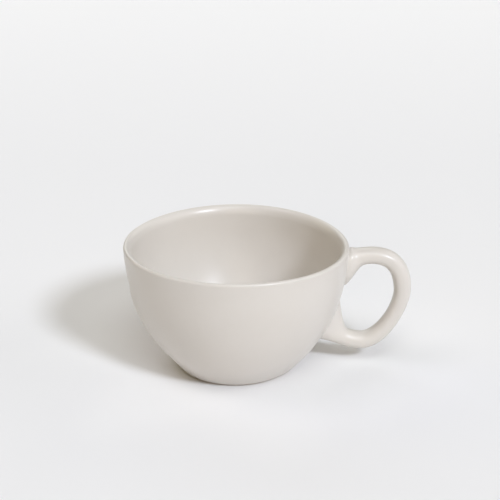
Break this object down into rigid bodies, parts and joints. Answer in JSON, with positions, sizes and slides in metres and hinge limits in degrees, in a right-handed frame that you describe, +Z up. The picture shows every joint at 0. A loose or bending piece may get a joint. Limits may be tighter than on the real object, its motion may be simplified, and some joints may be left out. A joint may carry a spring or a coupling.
{
  "type": "cappuccino cup",
  "caption": "Round-bellied stoneware cappuccino cup on a low foot ring, with a round looped handle under the rim and a satin off-white glaze inside and out.",
  "frame": {"origin": "on the table under the middle of the cup's overall length and width, so the bowl's axis is 15.4 mm behind it along -X", "axes": "+Z up through the mouth of the cup, +X towards the handle, XZ the plane of symmetry"},
  "size_m": [0.1408, 0.11, 0.0633],
  "materials": {
    "clay": "bare fired stoneware, pale buff, fine grained and dry to the touch",
    "glaze": "warm off-white satin glaze, softly reflective, slightly uneven by hand"
  },
  "bodies": {
    "root": {"bowl": "clay", "foot_ring": "clay", "upper_root": "clay", "handle": "clay", "lower_root": "clay", "inner_glaze": "glaze", "outer_glaze": "glaze", "handle_glaze": "glaze"}
  },
  "joints": []
}
